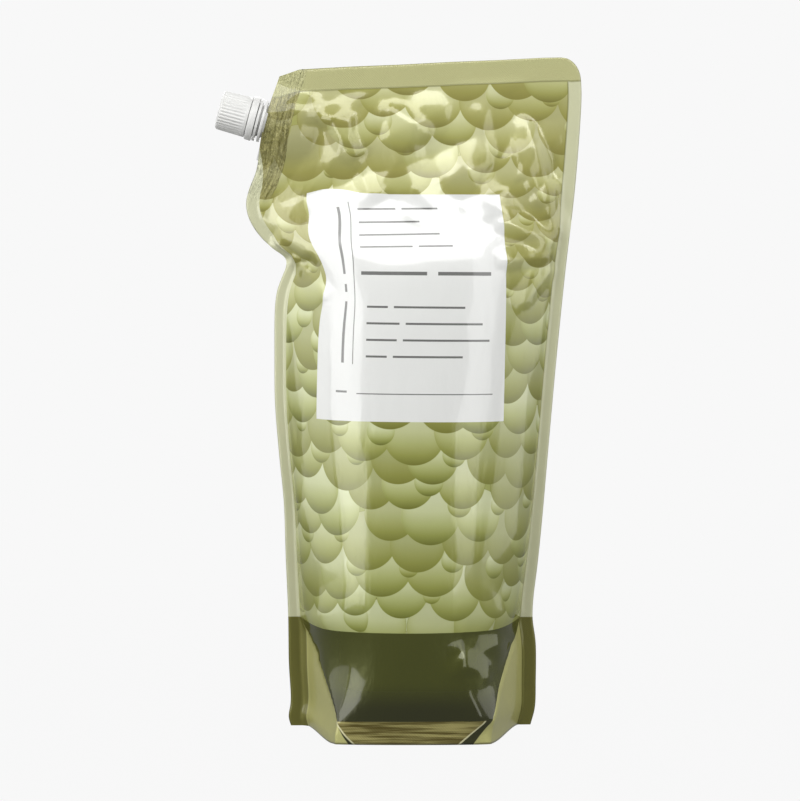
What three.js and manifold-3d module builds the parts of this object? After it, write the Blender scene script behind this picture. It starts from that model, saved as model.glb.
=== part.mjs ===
// A stand-up refill pouch of hand soap: a sealed film bag with fused side, top and skirt seams, and a
// screw-capped pouring spout welded into its slanted upper left edge.
// Millimetres, +Z up. The pack stands on Z = 0 around the origin, its printed front faces -Y, and the
// spout points up to the left, towards -X.

import * as THREE from "three";
import { mergeVertices } from "three/addons/utils/BufferGeometryUtils.js";
import Module from "manifold-3d";

const wasm = await Module();
wasm.setup();

// ---- Driving dimensions of the pouch -------------------------------------------------------------

const FILM_EDGE = 0.7; // thickness of two fused films with their faint knurl, at the fins
const SIDE_SEAL = 5.5; // width of the side fins
const TOP_SEAL = 10;

// The fused outer edge, seen from the front, from the lifted bottom corners up to the top seam.
const LEFT_EDGE = [
  [-53, 4.5],
  [-53.6, 27],
  [-53.8, 57],
  [-55.6, 102],
  [-59.4, 147],
  [-59.3, 187],
  [-54.6, 206],
  [-61, 214],
  [-69.8, 224.5],
  [-71.3, 235],
  [-67.5, 248],
  [-65.35, 260.2],
  [-62, 274.3],
  [-57.2, 288],
];
const RIGHT_EDGE = [
  [52.6, 4.5],
  [54.7, 25],
  [53.4, 55],
  [57.3, 94],
  [63.4, 164],
  [71.7, 242],
  [74.2, 286],
];
const TOP_RIGHT = [65.7, 296.2]; // where the corner's arc meets the top edge

// Half the depth of the filled body against height: the soap stands up to about 200 mm.
const HALF_DEPTH = [
  [0, 32],
  [10, 34],
  [32, 35.4],
  [67, 35],
  [107, 32],
  [147, 28.8],
  [197, 23.5],
  [222, 17],
  [242, 9.5],
  [259, 4.5],
  [275, 1.2],
  [285, 0],
  [300, 0],
];
const SECTION_POWER = 0.8; // 0.5 is an ellipse, 1 is a parabola; film leaves the seam at a slant
const FLAT_BASE = 0.66; // share of the base's half width that lies flat
const SKIRT_FADE = 34; // height over which the rows straighten out above the curved base line

// ---- Driving dimensions of the spout, along its own axis -----------------------------------------

const SPOUT_PLACE = [-63.7, 0, 268.3]; // the axis at the film's edge
const SPOUT_RISE = 15; // degrees above level
const SLIP = 0.3; // gap between pieces that touch

const BORE_RADIUS = 4.1;
const BOAT = { length: 34, thickness: 10.8, depth: 11, rim: -0.8 }; // weld base between the two films
const FLANGE = { radius: 9.3, plate: 1.2, low: 0.3, high: 2.4 };
const NECK_RADIUS = 6;
const NECK_ROOT = 7; // the thicker stretch from the weld base to the flanges
const NECK_END = 18.3;
const BEAD = { radius: 7.3, from: 5.1, to: 5.9 }; // holds the band back when the cap comes off

const PITCH = 3;
const THREAD = { height: 1, root: 1.6, crest: 0.9, steps: 24 };
const NECK_THREAD = { start: 8.6, turns: 2.2 };
const CAP_THREAD = { start: 10.1, turns: 1.6 };

const BAND = { from: 3.95, to: 6.95, outer: 9.7, taper: 0.15, inner: 7.6, lip: 6.4, lipTop: 4.75 };
const CAP = { from: 7.25, to: 20.4, radius: 8.85, taper: 0.35, inner: 7.35, roof: 1.5, edge: 0.8 };
const RIBS = 36;
const RIB_DEPTH = 0.35;
const PLUG = { outer: 3.75, inner: 2.9, length: 3.2 }; // seals inside the mouth
const ROUND = 40; // sides of the turned shapes

// ---- Solids --------------------------------------------------------------------------------------

function solidOf(geometry) {
  const bare = geometry.clone();
  bare.deleteAttribute("normal");
  bare.deleteAttribute("uv");
  const merged = mergeVertices(bare, 1e-4);
  return new wasm.Manifold(
    new wasm.Mesh({
      numProp: 3,
      vertProperties: merged.attributes.position.array,
      triVerts: new Uint32Array(merged.index.array),
    }),
  );
}

function geometryOf(solid) {
  const made = solid.getMesh();
  const geometry = new THREE.BufferGeometry();
  geometry.setAttribute("position", new THREE.BufferAttribute(made.vertProperties, 3));
  geometry.setIndex(new THREE.BufferAttribute(made.triVerts, 1));
  return geometry;
}

// A shape turned round the local Z axis from [radius, height] points, listed from low to high on the
// outside and closed on the axis or on itself.
function turned(profile) {
  const points = profile.map(([radius, height]) => new THREE.Vector2(radius, height));
  const geometry = new THREE.LatheGeometry(points, ROUND);
  geometry.rotateX(Math.PI / 2); // the lathe turns about Y; this stands it on Z
  return solidOf(geometry);
}

function rod(radius, from, to) {
  return turned([
    [0, from],
    [radius, from],
    [radius, to],
    [0, to],
  ]);
}

// A helical ridge: its root lies at rootRadius and its crest one thread height further, outwards for
// the neck (side = 1) and inwards for the cap (side = -1). It sinks a little into its wall.
function threadRidge(rootRadius, side, { start, turns }) {
  const sunk = 0.4;
  const section = [
    [rootRadius - side * sunk, -THREAD.root / 2],
    [rootRadius, -THREAD.root / 2],
    [rootRadius + side * THREAD.height, -THREAD.crest / 2],
    [rootRadius + side * THREAD.height, THREAD.crest / 2],
    [rootRadius, THREAD.root / 2],
    [rootRadius - side * sunk, THREAD.root / 2],
  ];
  const sides = section.length;
  const steps = Math.round(turns * THREAD.steps);
  const positions = [];
  for (let step = 0; step <= steps; step++) {
    const angle = (step / THREAD.steps) * 2 * Math.PI;
    const height = start + (step / THREAD.steps) * PITCH;
    for (const [radius, offset] of section)
      positions.push(radius * Math.cos(angle), radius * Math.sin(angle), height + offset);
  }
  const faces = [];
  const quad = (a, b, c, d) => (side > 0 ? faces.push(a, b, c, a, c, d) : faces.push(a, c, b, a, d, c));
  for (let step = 0; step < steps; step++)
    for (let i = 0; i < sides; i++) {
      const next = (i + 1) % sides;
      quad(step * sides + i, (step + 1) * sides + i, (step + 1) * sides + next, step * sides + next);
    }
  const last = steps * sides;
  quad(0, 1, 4, 5);
  quad(1, 2, 3, 4);
  quad(last + 5, last + 4, last + 1, last);
  quad(last + 4, last + 3, last + 2, last + 1);
  const geometry = new THREE.BufferGeometry();
  geometry.setAttribute("position", new THREE.Float32BufferAttribute(positions, 3));
  geometry.setIndex(faces);
  return solidOf(geometry);
}

// ---- Spout: weld base, two flanges, threaded neck and bore ---------------------------------------

// The boat-shaped outline of the weld base, grown by a margin, as an upright prism.
function boatPrism(margin, from, to) {
  const half = BOAT.length / 2 + margin;
  const thick = BOAT.thickness / 2 + margin;
  const outline = new THREE.Shape();
  outline.moveTo(half, -0.4);
  outline.lineTo(half, 0.4);
  outline.bezierCurveTo(half * 0.62, thick * 0.42, half * 0.42, thick, 0, thick);
  outline.bezierCurveTo(-half * 0.42, thick, -half * 0.62, thick * 0.42, -half, 0.4);
  outline.lineTo(-half, -0.4);
  outline.bezierCurveTo(-half * 0.62, -thick * 0.42, -half * 0.42, -thick, 0, -thick);
  outline.bezierCurveTo(half * 0.42, -thick, half * 0.62, -thick * 0.42, half, -0.4);
  const geometry = new THREE.ExtrudeGeometry(outline, {
    depth: to - from,
    bevelEnabled: false,
    curveSegments: 5,
  });
  geometry.translate(0, 0, from);
  return solidOf(geometry);
}

function makeSpout() {
  const { low, high, plate, radius } = FLANGE;
  const outside = turned([
    [0, -BOAT.depth / 2],
    [NECK_ROOT - 2, -BOAT.depth / 2],
    [NECK_ROOT - 2, BOAT.rim],
    [NECK_ROOT, 0],
    [NECK_ROOT, low],
    [radius - 0.2, low],
    [radius, low + 0.2],
    [radius, low + plate],
    [NECK_ROOT, low + plate],
    [NECK_ROOT, high],
    [radius, high],
    [radius, high + plate - 0.2],
    [radius - 0.2, high + plate],
    [NECK_RADIUS, high + plate],
    [NECK_RADIUS, BEAD.from],
    [BEAD.radius, BEAD.from],
    [BEAD.radius - 0.5, BEAD.to],
    [NECK_RADIUS, BEAD.to],
    [NECK_RADIUS, NECK_END - 0.5],
    [NECK_RADIUS - 0.5, NECK_END],
    [0, NECK_END],
  ]);
  return boatPrism(0, -BOAT.depth, BOAT.rim)
    .add(outside)
    .add(threadRidge(NECK_RADIUS, 1, NECK_THREAD))
    .subtract(rod(BORE_RADIUS, -BOAT.depth - 1, NECK_END + 1));
}

// ---- Tamper band: the smooth ring under the cap --------------------------------------------------

function makeBand() {
  const { from, to, outer, taper, inner, lip, lipTop } = BAND;
  return turned([
    [lip, from],
    [outer - 0.25, from],
    [outer, from + 0.25],
    [outer - taper, to],
    [inner, to],
    [inner, lipTop],
    [lip + 0.3, lipTop],
    [lip, from],
  ]);
}

// ---- Cap: ribbed cup with an inner thread and a sealing plug -------------------------------------

// The ribbed wall narrows towards its roof, and its top edge is rounded by two chamfers.
function capBlank() {
  const levels = [
    [CAP.from, 0],
    [CAP.to - 1.6 * CAP.edge, 0],
    [CAP.to - 0.45 * CAP.edge, 0.3 * CAP.edge],
    [CAP.to, CAP.edge],
  ];
  const perRib = 4;
  const sides = RIBS * perRib;
  const positions = [];
  for (const [height, chamfer] of levels) {
    const share = (height - CAP.from) / (CAP.to - CAP.from);
    const crest = CAP.radius - CAP.taper * share - chamfer;
    for (let i = 0; i < sides; i++) {
      const angle = (i / sides) * 2 * Math.PI;
      const groove = i % perRib === 0 && chamfer < CAP.edge ? RIB_DEPTH : 0;
      positions.push((crest - groove) * Math.cos(angle), (crest - groove) * Math.sin(angle), height);
    }
  }
  const faces = [];
  for (let level = 0; level < levels.length - 1; level++)
    for (let i = 0; i < sides; i++) {
      const next = (i + 1) % sides;
      const here = level * sides;
      faces.push(here + i, here + next, here + sides + next);
      faces.push(here + i, here + sides + next, here + sides + i);
    }
  const foot = positions.length / 3;
  positions.push(0, 0, CAP.from, 0, 0, CAP.to);
  const last = (levels.length - 1) * sides;
  for (let i = 0; i < sides; i++) {
    const next = (i + 1) % sides;
    faces.push(foot, next, i);
    faces.push(foot + 1, last + i, last + next);
  }
  const geometry = new THREE.BufferGeometry();
  geometry.setAttribute("position", new THREE.Float32BufferAttribute(positions, 3));
  geometry.setIndex(faces);
  return solidOf(geometry);
}

function makeCap() {
  const ceiling = CAP.to - CAP.roof;
  const plug = turned([
    [PLUG.inner, ceiling - PLUG.length],
    [PLUG.outer - 0.25, ceiling - PLUG.length],
    [PLUG.outer, ceiling - PLUG.length + 0.6],
    [PLUG.outer, ceiling + 0.1],
    [PLUG.inner, ceiling + 0.1],
    [PLUG.inner, ceiling - PLUG.length],
  ]);
  return capBlank()
    .subtract(rod(CAP.inner, CAP.from - 1, ceiling))
    .add(threadRidge(CAP.inner, -1, CAP_THREAD))
    .add(plug);
}

// ---- Pouch: one sealed solid of film and soap ----------------------------------------------------

function edgeCurve(points) {
  return new THREE.CatmullRomCurve3(
    points.map(([x, z]) => new THREE.Vector3(x, 0, z)),
    false,
    "centripetal",
  );
}

function pointAtHeight(curve, height) {
  let low = 0;
  let high = 1;
  for (let i = 0; i < 30; i++) {
    const middle = (low + high) / 2;
    if (curve.getPoint(middle).z < height) low = middle;
    else high = middle;
  }
  return curve.getPoint(low);
}

const depthCurve = edgeCurve(HALF_DEPTH.map(([height, depth]) => [depth, height]));

function depthAt(height) {
  return Math.max(0, pointAtHeight(depthCurve, height).x);
}

// The corner between the right edge and the top edge, as a quarter turn.
function rightCorner(share) {
  const [sideX, sideZ] = RIGHT_EDGE.at(-1);
  const [topX, topZ] = TOP_RIGHT;
  const angle = (share * Math.PI) / 2;
  const x = topX + (sideX - topX) * Math.cos(angle);
  const z = sideZ + (topZ - sideZ) * Math.sin(angle);
  return new THREE.Vector3(x, 0, z);
}

// Rows run from the left edge to the right edge. They lie closer together around the weld base.
const LEFT_HEIGHTS = [
  ...Array.from({ length: 31 }, (_, i) => LEFT_EDGE[0][1] + i * 7.6),
  ...Array.from({ length: 13 }, (_, i) => 235.8 + i * 3.6),
  283,
  286,
];
const CORNER_ROWS = 4;
const COLUMNS = [0, 1.8, 3.6, SIDE_SEAL, 7.5, 10, 13, 16.5, 20.5, 25, 30, 35.5, 41.5, 48, 55, 62];

// Distance across the row, measured in from either edge, as shares of the row's width.
function columnShares(width) {
  const inward = COLUMNS.map((distance) => distance / width).filter((share) => share < 0.48);
  return [...inward, 0.5, ...inward.map((share) => 1 - share).reverse()];
}

// Half the thickness that the weld base gives the film, at a point seen from the front.
function boatBulge(x, z) {
  const rise = THREE.MathUtils.degToRad(SPOUT_RISE);
  const dx = x - SPOUT_PLACE[0];
  const dz = z - SPOUT_PLACE[2];
  const along = dx * Math.sin(rise) + dz * Math.cos(rise);
  const inward = dx * Math.cos(rise) - dz * Math.sin(rise);
  const share = Math.abs(along) / (BOAT.length / 2 + 3);
  if (share > 1) return 0;
  const lens = Math.pow(Math.cos((share * Math.PI) / 2), 1.15);
  const fade = THREE.MathUtils.smoothstep(inward, BOAT.depth + 2, BOAT.depth + 24);
  return (BOAT.thickness / 2 + 1.1) * lens * (1 - fade);
}

function makePouch() {
  const left = edgeCurve(LEFT_EDGE);
  const right = edgeCurve(RIGHT_EDGE);
  const lastLeft = LEFT_EDGE.at(-1)[1];
  const rows = LEFT_HEIGHTS.map((height) => {
    const share = (height - LEFT_EDGE[0][1]) / (lastLeft - LEFT_EDGE[0][1]);
    const rightHeight = THREE.MathUtils.lerp(RIGHT_EDGE[0][1], RIGHT_EDGE.at(-1)[1], share);
    return [pointAtHeight(left, height), pointAtHeight(right, rightHeight)];
  });
  const topLeft = new THREE.Vector3(LEFT_EDGE.at(-1)[0], 0, lastLeft);
  for (let i = 1; i <= CORNER_ROWS; i++) {
    const from = rows[LEFT_HEIGHTS.length - 1][0];
    const share = i / CORNER_ROWS;
    rows.push([from.clone().lerp(topLeft, share), rightCorner(share)]);
  }
  const shares = columnShares(118);
  const across = shares.length;
  const positions = [];
  const [firstLeft, firstRight] = rows[0];
  rows.forEach(([from, to]) => {
    const width = from.distanceTo(to);
    const seal = SIDE_SEAL / width;
    for (const share of shares) {
      const x = THREE.MathUtils.lerp(from.x, to.x, share);
      const line = THREE.MathUtils.lerp(from.z, to.z, share);
      const lift = THREE.MathUtils.lerp(firstLeft.z, firstRight.z, share);
      const outside = Math.max(0, Math.abs(2 * share - 1) - FLAT_BASE) / (1 - FLAT_BASE);
      const sag = lift * (1 - outside ** 2);
      const fade = Math.max(0, 1 - (line - lift) / SKIRT_FADE);
      const z = line - sag * fade;
      const place = THREE.MathUtils.clamp((share - seal) / (1 - 2 * seal), 0, 1) * 2 - 1;
      const toTop = THREE.MathUtils.clamp((rows.at(-1)[0].z + 8 * share - z) / TOP_SEAL - 1, 0, 1);
      const body = depthAt(z) * (1 - place * place) ** SECTION_POWER * Math.min(1, toTop * 3);
      const half = FILM_EDGE / 2 + Math.hypot(body, boatBulge(x, z));
      positions.push(x, -half, z, x, half, z);
    }
  });
  const faces = [];
  const vertex = (row, column, back) => 2 * (row * across + column) + back;
  const quad = (a, b, c, d) => faces.push(a, b, c, a, c, d);
  for (let row = 0; row < rows.length - 1; row++) {
    for (let column = 0; column < across - 1; column++) {
      const [a, b, c, d] = [
        [row, column],
        [row, column + 1],
        [row + 1, column + 1],
        [row + 1, column],
      ];
      quad(vertex(...a, 0), vertex(...b, 0), vertex(...c, 0), vertex(...d, 0));
      quad(vertex(...d, 1), vertex(...c, 1), vertex(...b, 1), vertex(...a, 1));
    }
    quad(vertex(row, 0, 1), vertex(row, 0, 0), vertex(row + 1, 0, 0), vertex(row + 1, 0, 1));
    const end = across - 1;
    quad(vertex(row, end, 0), vertex(row, end, 1), vertex(row + 1, end, 1), vertex(row + 1, end, 0));
  }
  const top = rows.length - 1;
  for (let column = 0; column < across - 1; column++) {
    quad(vertex(0, column, 1), vertex(0, column + 1, 1), vertex(0, column + 1, 0), vertex(0, column, 0));
    quad(
      vertex(top, column, 0),
      vertex(top, column + 1, 0),
      vertex(top, column + 1, 1),
      vertex(top, column, 1),
    );
  }
  const geometry = new THREE.BufferGeometry();
  geometry.setAttribute("position", new THREE.Float32BufferAttribute(positions, 3));
  geometry.setIndex(faces);
  const room = boatPrism(SLIP, -BOAT.depth - SLIP, BOAT.rim + SLIP)
    .add(rod(NECK_ROOT + SLIP, BOAT.rim, 1))
    .add(rod(FLANGE.radius + SLIP, 0, 5));
  const rise = SPOUT_RISE - 90;
  const placed = room.rotate([0, rise, 0]).translate(SPOUT_PLACE);
  return solidOf(geometry).subtract(placed);
}

// ---- The scene graph -----------------------------------------------------------------------------

const film = new THREE.MeshStandardMaterial({ color: 0xa3a95e, roughness: 0.3, metalness: 0 });
const whitePlastic = new THREE.MeshStandardMaterial({ color: 0xf2f2ee, roughness: 0.4, metalness: 0 });

function named(name, solid, material) {
  const mesh = new THREE.Mesh(geometryOf(solid), material);
  mesh.name = name;
  return mesh;
}

const spoutGroup = new THREE.Group();
spoutGroup.position.set(...SPOUT_PLACE);
spoutGroup.rotation.y = THREE.MathUtils.degToRad(SPOUT_RISE - 90);
spoutGroup.add(
  named("spout", makeSpout(), whitePlastic),
  named("tamper_band", makeBand(), whitePlastic),
  named("screw_cap", makeCap(), whitePlastic),
);

const pack = new THREE.Group();
pack.add(named("pouch", makePouch(), film), spoutGroup);

export default pack;
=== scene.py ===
"""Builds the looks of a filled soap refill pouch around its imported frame.

The film bag is three sheets, front, back and folded bottom, cut flat, drawn to their seams and filled by a
cloth simulation, then creased where the film has buckled. The print lies on the film's own flat pattern.
"""

import math

import bmesh
import bpy
import numpy as np
from mathutils import Matrix, Vector, noise


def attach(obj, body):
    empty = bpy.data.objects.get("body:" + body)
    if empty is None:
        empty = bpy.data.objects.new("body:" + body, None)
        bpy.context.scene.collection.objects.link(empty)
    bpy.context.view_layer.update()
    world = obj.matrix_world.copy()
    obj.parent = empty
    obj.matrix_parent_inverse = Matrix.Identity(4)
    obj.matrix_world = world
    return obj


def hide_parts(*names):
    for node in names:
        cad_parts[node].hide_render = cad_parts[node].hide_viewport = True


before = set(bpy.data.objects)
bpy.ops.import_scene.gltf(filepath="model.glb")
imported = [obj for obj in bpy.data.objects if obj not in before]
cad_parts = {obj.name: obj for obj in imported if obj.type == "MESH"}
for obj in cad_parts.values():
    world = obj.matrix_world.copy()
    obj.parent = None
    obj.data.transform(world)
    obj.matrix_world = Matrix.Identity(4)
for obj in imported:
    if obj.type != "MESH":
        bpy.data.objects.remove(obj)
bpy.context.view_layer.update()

bl_info = {
    "name": "Soap refill pouch",
    "version": (1, 0, 0),
    "blender": (4, 5, 0),
    "location": "View3D > Sidebar > Pouch",
    "description": "Builds a filled stand-up pouch with a screw-capped spout, and a studio around it",
    "category": "Object",
}

MM = 0.001

# ---- The flat film, in millimetres ---------------------------------------------------------------
# Sheets are cut in a flat frame: x across from the pouch's middle, z up from the skirt's edge.

FLAT_LEFT = -73.0
FLAT_RIGHT = 73.5
FLAT_KINK = 243.0  # height on the left edge where the slanted spout edge starts
FLAT_TOP_LEFT = (-57.5, 295.0)
FLAT_TOP_RIGHT = (66.0, 303.0)
FLAT_CORNER = 293.0  # height on the right edge where the corner's arc starts
SIDE_SEAL = 5.5
SPOUT_SEAL = 11.5
TOP_SEAL = 10.0
SKIRT = 10.0  # height of the fused strip along the bottom
FOLD_TOP = 48.0  # where the folded-in bottom film ends, and the dark print with it
FOLD_FOOT = 34.0  # half the width of the skirt strip between the slanted bottom seals

SEAL_CELLS = 4
BODY_CELLS = 56
SKIRT_ROWS = 5
BODY_ROWS = 112
TOP_ROWS = 5
FOLD_ROWS = 14

# ---- The filled bag, in millimetres, seen from the front -----------------------------------------

LEFT_SIDE = [
    (-52.6, 4.2), (-53.6, 8), (-52.7, 15), (-53.5, 32), (-53.8, 54), (-54.8, 78), (-55.6, 102),
    (-57.7, 124), (-59.4, 146), (-59.6, 166), (-59.3, 188), (-58.3, 195), (-56.3, 200.6), (-54.5, 205.2),
    (-54.4, 208.2), (-56.2, 210.4), (-60.1, 213.2), (-65.2, 217.8), (-69.4, 223.7), (-71.4, 228.8),
    (-71.8, 233.7), (-70.4, 239.5),
]
SPOUT_EDGE = [(-70.4, 239.5), (-67.4, 247.2), (-65.4, 260), (-63.6, 268.4), (-60.7, 278), (-57.2, 288)]
RIGHT_SIDE = [
    (52.4, 4.6), (54.3, 12), (54.7, 24), (54.6, 41), (53.3, 51), (53.5, 59), (55.5, 76), (57.3, 94),
    (60.3, 129), (63.4, 164), (67.3, 203), (71.7, 242), (74.2, 279), (74.0, 285.5),
]
TOP_RIGHT = (65.5, 296.2)
LEFT_PLAIN = [(0, -53.2), (60, -53.8), (124, -57.2), (190, -61.0), (243, -69.0)]  # the left side unpinched
PINCH_REACH = 0.36  # share of the width over which the film takes up the pinch
PINCH_SLANT = 65.0  # how much lower the pinch lies at the right side than at the left
RIGHT_HEIGHTS = [(0, 4.6), (215, 216.6), (247, 241.5), (293, 285.5)]  # flat height and height when filled
SAG = 4.4  # how much lower the film's middle hangs than its side seams, at the bottom
TOP_RISE = [  # how much higher the top edge lies than a straight line
    (-57, 0), (-48.5, 2.4), (-26.7, 2.2), (-4.8, 1.6), (17, 1.3), (39, 0.7), (58, 0.4), (66, 0),
]

HALF_DEPTH = [
    (0, 34), (9, 34.2), (15, 35.3), (24, 36), (54, 36), (80, 34.5), (110, 32), (150, 28.5), (180, 25.5),
    (200, 22.5), (215, 18), (230, 12), (245, 7.5), (262, 4), (276, 1.6), (285, 0.6), (300, 0.6),
]
STRIP_DEPTH = 31.0  # half the depth at the fused legs' inner edge, at the skirt
PANEL_FOOT = 33.5  # half the width between the fused legs, at the skirt
PANEL_TOP = 48.2  # and at the fold's top
FILM = 0.24  # thickness of one film, drawn slightly heavy

SPOUT_AT = (-63.7, 268.3)  # where the spout's axis leaves the film's edge
SPOUT_RISE = 15.0  # degrees above level
BOAT_LENGTH = 34.0  # the spout's weld base, which the two films wrap
BOAT_REACH = BOAT_LENGTH / 2 + 0.5  # how far from its middle the films meet again
BOAT_HALF = 5.8  # half the bag's thickness over it
BOAT_DEPTH = 11.0
BOAT_GAP = 0.12  # between the weld base and each film


def smooth_line(points, count):
    """Evenly spaced points along a centripetal Catmull-Rom curve through the given ones."""
    p = np.array(points, float)
    p = np.vstack([2 * p[0] - p[1], p, 2 * p[-1] - p[-2]])
    knots = np.concatenate([[0], np.cumsum(np.linalg.norm(np.diff(p, axis=0), axis=1) ** 0.5)])
    fine = []
    for k in range(1, len(p) - 2):
        t = np.linspace(knots[k], knots[k + 1], 24, endpoint=False)[:, None]
        t0, t1, t2, t3 = knots[k - 1 : k + 3]
        a1 = (t1 - t) / (t1 - t0) * p[k - 1] + (t - t0) / (t1 - t0) * p[k]
        a2 = (t2 - t) / (t2 - t1) * p[k] + (t - t1) / (t2 - t1) * p[k + 1]
        a3 = (t3 - t) / (t3 - t2) * p[k + 1] + (t - t2) / (t3 - t2) * p[k + 2]
        b1 = (t2 - t) / (t2 - t0) * a1 + (t - t0) / (t2 - t0) * a2
        b2 = (t3 - t) / (t3 - t1) * a2 + (t - t1) / (t3 - t1) * a3
        fine.append((t2 - t) / (t2 - t1) * b1 + (t - t1) / (t2 - t1) * b2)
    fine = np.vstack([*fine, p[-2]])
    along = np.concatenate([[0], np.cumsum(np.linalg.norm(np.diff(fine, axis=0), axis=1))])
    want = np.linspace(0, along[-1], count)
    return np.column_stack([np.interp(want, along, fine[:, k]) for k in range(fine.shape[1])])


def ease(x, low, high):
    """0 below low, 1 above high, smooth between."""
    t = np.clip((np.asarray(x, float) - low) / (high - low), 0, 1)
    return t * t * (3 - 2 * t)


class Outline:
    """The bag's outer edge, flat and filled, at each row of the sheets."""

    def __init__(self):
        rows = SKIRT_ROWS + BODY_ROWS + TOP_ROWS
        levels = np.concatenate([
            np.linspace(0, SKIRT, SKIRT_ROWS, endpoint=False),
            np.linspace(SKIRT, FLAT_CORNER, BODY_ROWS, endpoint=False),
            np.full(TOP_ROWS + 1, FLAT_CORNER),
        ])
        self.level = levels
        self.corner = np.concatenate([np.zeros(rows - TOP_ROWS), np.linspace(0, 1, TOP_ROWS + 1)])
        slant = math.dist((FLAT_LEFT, FLAT_KINK), FLAT_TOP_LEFT)
        left_length = FLAT_KINK + slant
        # the last rows take the top seal's width off the left edge too
        share = (levels / FLAT_CORNER) * (1 - TOP_SEAL / left_length)
        share = share + self.corner * TOP_SEAL / left_length
        reach = share * left_length
        self.left_reach = reach
        on_slant = np.clip((reach - FLAT_KINK) / slant, 0, 1)
        self.flat_left = np.column_stack([
            FLAT_LEFT + (FLAT_TOP_LEFT[0] - FLAT_LEFT) * on_slant,
            np.minimum(reach, FLAT_KINK) + (FLAT_TOP_LEFT[1] - FLAT_KINK) * on_slant,
        ])
        turn = self.corner * math.pi / 2
        self.flat_right = np.column_stack([
            FLAT_TOP_RIGHT[0] + (FLAT_RIGHT - FLAT_TOP_RIGHT[0]) * np.cos(turn),
            levels + (FLAT_TOP_RIGHT[1] - FLAT_CORNER) * np.sin(turn),
        ])
        side = smooth_line(LEFT_SIDE, 800)
        edge = smooth_line(SPOUT_EDGE, 300)
        self.left = np.empty((rows + 1, 2))
        for k in range(2):
            low = np.interp(np.minimum(reach, FLAT_KINK) / FLAT_KINK, np.linspace(0, 1, 800), side[:, k])
            high = np.interp(on_slant, np.linspace(0, 1, 300), edge[:, k])
            self.left[:, k] = np.where(reach < FLAT_KINK, low, high)
        right = smooth_line(RIGHT_SIDE, 800)
        height = np.interp(levels, *np.array(RIGHT_HEIGHTS).T)
        self.right = np.column_stack([np.interp(height, right[:, 1], right[:, 0]), height])
        plain = np.interp(levels, *np.array(LEFT_PLAIN, float).T)
        fade = (1 - ease(levels, FLAT_KINK - 8, FLAT_KINK)) * ease(levels, 60, 120)
        self.pinch = (self.left[:, 0] - plain) * fade
        last = self.right[-1].copy()
        self.right[:, 0] += (TOP_RIGHT[0] - last[0]) * (1 - np.cos(turn))
        self.right[:, 1] += (TOP_RIGHT[1] - last[1]) * np.sin(turn)
        self.left_seal = SIDE_SEAL + (SPOUT_SEAL - SIDE_SEAL) * ease(reach, FLAT_KINK - 8, FLAT_KINK + 8)
        self.left_seal = self.left_seal + 1.5 * (1 - ease(levels, FOLD_TOP - 6, FOLD_TOP))


def fold_edge(height):
    """Half the distance between the slanted bottom seals, flat, at a flat height."""
    share = np.clip((height - SKIRT) / (FOLD_TOP - SKIRT), 0, 1)
    return FOLD_FOOT + (FLAT_RIGHT - SIDE_SEAL - FOLD_FOOT) * share


def sheet_places():
    """Flat and filled places of the front sheet's grid, as arrays indexed [column, row]."""
    line = Outline()
    cells = 2 * SEAL_CELLS + BODY_CELLS
    rows = len(line.level)
    flat = np.zeros((cells + 1, rows, 2))
    filled = np.zeros((cells + 1, rows, 3))
    body = np.zeros((cells + 1, rows))
    for j in range(rows):
        width = np.linalg.norm(line.flat_right[j] - line.flat_left[j])
        left_seal, right_seal = line.left_seal[j], SIDE_SEAL
        inward = np.concatenate([
            np.linspace(0, left_seal, SEAL_CELLS, endpoint=False),
            np.linspace(left_seal, width - right_seal, BODY_CELLS, endpoint=False),
            np.linspace(width - right_seal, width, SEAL_CELLS + 1),
        ])
        share = (inward / width)[:, None]
        flat[:, j] = line.flat_left[j] * (1 - share) + line.flat_right[j] * share
        filled[:, j], body[:, j] = row_filled(line, j, inward, width, left_seal, right_seal, flat[:, j])
    to_top = top_distance(flat[..., 0], flat[..., 1])
    filled[..., 1] *= np.clip((to_top - TOP_SEAL) / 9, 0, 1) ** 0.6
    body[to_top <= TOP_SEAL] = 0
    rise = np.interp(filled[..., 0], *np.array(TOP_RISE, float).T)
    filled[..., 2] += rise * (1 - ease(to_top, 0, 45))
    return line, flat, filled, body


def top_distance(x, z):
    """How far a place on the flat film lies below the top edge."""
    run = np.subtract(FLAT_TOP_RIGHT, FLAT_TOP_LEFT) / math.dist(FLAT_TOP_RIGHT, FLAT_TOP_LEFT)
    return (x - FLAT_TOP_LEFT[0]) * run[1] - (z - FLAT_TOP_LEFT[1]) * run[0]


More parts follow.
